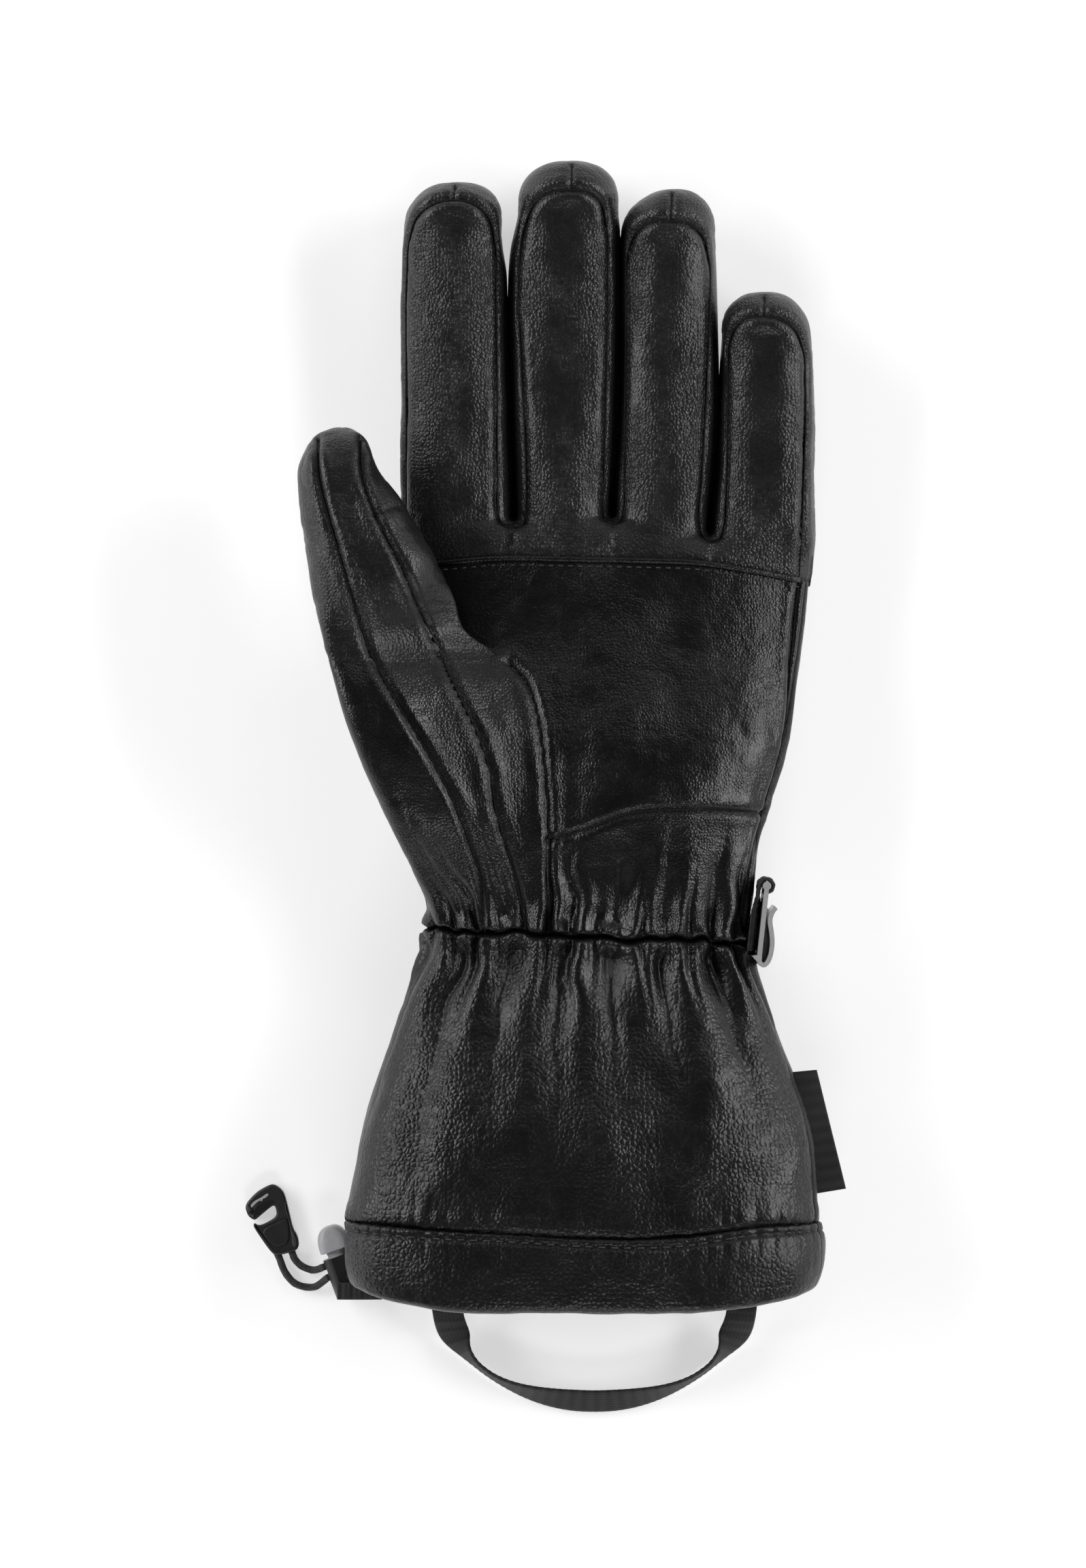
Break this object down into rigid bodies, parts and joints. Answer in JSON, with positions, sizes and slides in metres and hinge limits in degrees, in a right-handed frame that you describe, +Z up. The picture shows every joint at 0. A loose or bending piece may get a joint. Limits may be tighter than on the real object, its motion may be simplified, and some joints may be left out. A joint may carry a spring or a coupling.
{
  "type": "ski glove",
  "caption": "Left-hand leather gauntlet ski glove with curved fingers, a cinched wrist with a hook buckle, a corded hem, a pairing clip and a webbing hang loop.",
  "frame": {"origin": "on the resting plane under the wrist elastic's middle line, where the back of the glove lies", "axes": "+Y towards the fingertips, +Z up out of the palm, -X towards the thumb"},
  "size_m": [0.1612, 0.337, 0.0538],
  "materials": {
    "leather": "grained, worn satin",
    "back_leather": "smooth grained, satin",
    "lining": "brushed knit",
    "insulation": "loose fibre wadding",
    "elastic": "woven elastic",
    "webbing": "ribbed grosgrain",
    "cord": "braided elastic cord",
    "buckle": "satin",
    "clip": "moulded, satin",
    "lock": "moulded, satin",
    "button": "moulded, satin",
    "spring": "drawn wire",
    "label": "woven tape"
  },
  "bodies": {
    "hand": {"palm_panel": "leather", "finger_base_panel": "leather", "palm_piping": "leather", "heel_panel": "leather", "back_panel": "back_leather", "thumb_base_outer": "leather", "thumb_base_strip": "leather", "thumb_base_inner": "leather", "hand_insulation": "insulation", "hand_lining": "lining", "wrist_elastic": "elastic", "wrist_strap": "webbing", "buckle_tab": "webbing"},
    "cuff": {"cuff_palm_panel": "leather", "cuff_back_panel": "back_leather", "cuff_insulation": "insulation", "cuff_lining": "lining", "hem_front": "leather", "hem_back": "back_leather", "hem_cord": "cord", "cord_leg_outer": "cord", "cord_leg_inner": "cord", "lock_barrel": "lock", "lock_spring": "spring", "lock_tab": "webbing", "pairing_clip": "clip", "hang_loop": "webbing", "side_label": "label"},
    "index": {"index_palm_side": "leather", "index_back": "leather", "index_walls": "leather", "index_lining": "lining"},
    "middle": {"middle_palm_side": "leather", "middle_back": "leather", "middle_walls": "leather", "middle_lining": "lining"},
    "ring": {"ring_palm_side": "leather", "ring_back": "leather", "ring_walls": "leather", "ring_lining": "lining"},
    "little": {"little_palm_side": "leather", "little_back": "leather", "little_walls": "leather", "little_lining": "lining"},
    "thumb": {"thumb_outer": "leather", "thumb_strip": "leather", "thumb_inner": "leather", "thumb_back": "leather", "thumb_lining": "lining"},
    "buckle": {"hook_buckle": "buckle"},
    "button": {"lock_button": "button"}
  },
  "joints": [
    {"name": "index_flex", "type": "hinge", "parent": "hand", "child": "index", "pos_m": [-0.0405, 0.105, 0.0275], "axis": [1, 0, 0], "range_deg": [0, 50]},
    {"name": "middle_flex", "type": "hinge", "parent": "hand", "child": "middle", "pos_m": [-0.0115, 0.105, 0.0275], "axis": [1, 0, 0], "range_deg": [0, 50]},
    {"name": "ring_flex", "type": "hinge", "parent": "hand", "child": "ring", "pos_m": [0.0155, 0.105, 0.0275], "axis": [1, 0, 0], "range_deg": [0, 50]},
    {"name": "little_flex", "type": "hinge", "parent": "hand", "child": "little", "pos_m": [0.0415, 0.105, 0.0275], "axis": [1, 0, 0], "range_deg": [0, 50]},
    {"name": "thumb_flex", "type": "hinge", "parent": "hand", "child": "thumb", "pos_m": [-0.053, 0.072, 0.0555], "axis": [1, 0, 0], "range_deg": [0, 30]},
    {"name": "wrist_flex", "type": "hinge", "parent": "hand", "child": "cuff", "pos_m": [-0.006, -0.005, 0.035], "axis": [-1, 0, 0], "range_deg": [0, 35]},
    {"name": "buckle_swing", "type": "hinge", "parent": "hand", "child": "buckle", "pos_m": [0.04176, 0.0125, 0.023], "axis": [0, 0, 1], "range_deg": [0, 45]},
    {"name": "button_press", "type": "slide", "parent": "cuff", "child": "button", "axis": [0.342, -0.9397, 0], "range_m": [0, 0.0016], "stiffness_N_per_m": 600, "springref_m": -0.0016, "deforming": ["lock_spring"]}
  ]
}
